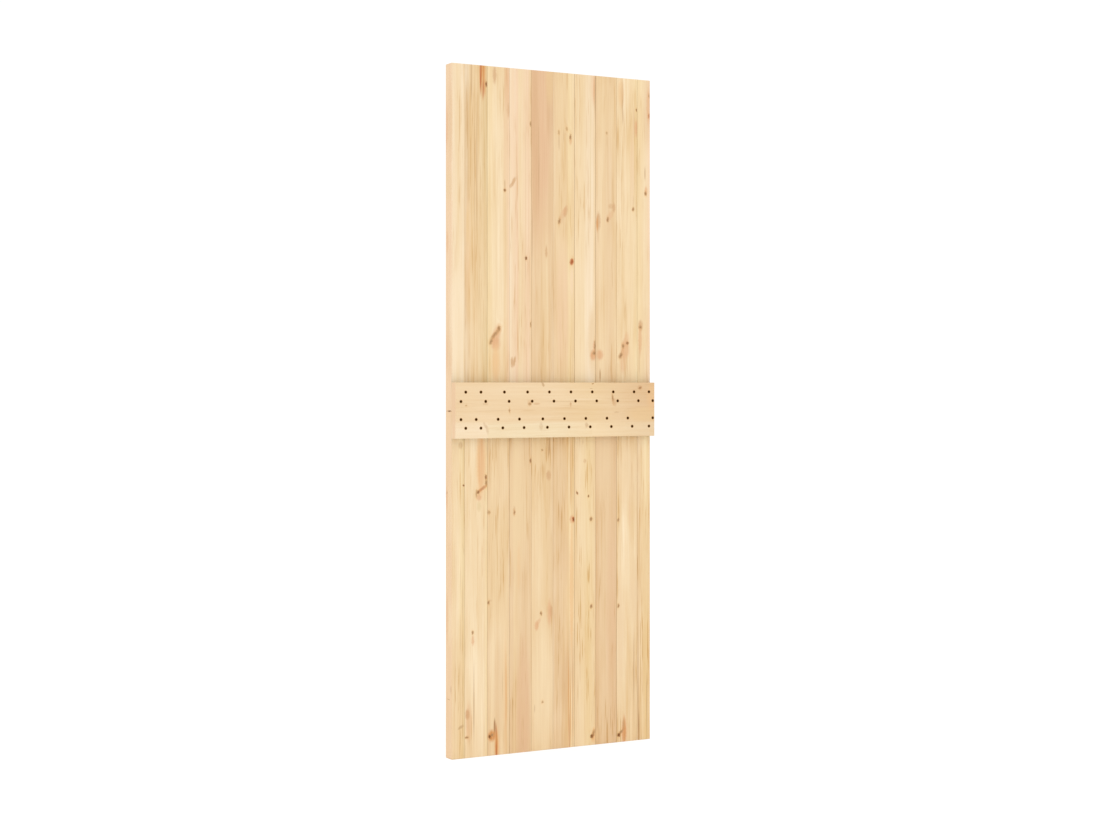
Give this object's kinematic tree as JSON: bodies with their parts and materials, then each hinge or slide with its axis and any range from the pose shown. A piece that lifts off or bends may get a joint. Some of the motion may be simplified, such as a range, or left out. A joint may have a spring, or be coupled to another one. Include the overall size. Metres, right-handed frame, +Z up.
{
  "type": "ledged sliding door leaf",
  "caption": "Solid softwood sliding door leaf: tongue-and-groove boards, an upper and a lower set, held together by one rail screwed across the middle of the front.",
  "frame": {"origin": "middle of the leaf's top edge, across its width and its thickness, where its hangers carry it", "axes": "+Z up the boards, +X to the right as seen from the front, the front with the rail facing -Y"},
  "size_m": [0.7, 0.067, 2.085],
  "materials": {
    "pine_boards": "matte",
    "pine_rail": "matte",
    "black_screws": "satin"
  },
  "bodies": {
    "root": {"upper_board_01": "pine_boards", "upper_board_02": "pine_boards", "upper_board_03": "pine_boards", "upper_board_04": "pine_boards", "upper_board_05": "pine_boards", "upper_board_06": "pine_boards", "upper_board_07": "pine_boards", "upper_board_08": "pine_boards", "upper_board_09": "pine_boards", "upper_board_10": "pine_boards", "lower_board_01": "pine_boards", "lower_board_02": "pine_boards", "lower_board_03": "pine_boards", "lower_board_04": "pine_boards", "lower_board_05": "pine_boards", "lower_board_06": "pine_boards", "lower_board_07": "pine_boards", "lower_board_08": "pine_boards", "lower_board_09": "pine_boards", "lower_board_10": "pine_boards", "mid_rail": "pine_rail", "upper_screws_01": "black_screws", "upper_screws_02": "black_screws", "upper_screws_03": "black_screws", "upper_screws_04": "black_screws", "upper_screws_05": "black_screws", "upper_screws_06": "black_screws", "upper_screws_07": "black_screws", "upper_screws_08": "black_screws", "upper_screws_09": "black_screws", "upper_screws_10": "black_screws", "lower_screws_01": "black_screws", "lower_screws_02": "black_screws", "lower_screws_03": "black_screws", "lower_screws_04": "black_screws", "lower_screws_05": "black_screws", "lower_screws_06": "black_screws", "lower_screws_07": "black_screws", "lower_screws_08": "black_screws", "lower_screws_09": "black_screws", "lower_screws_10": "black_screws"}
  },
  "joints": []
}
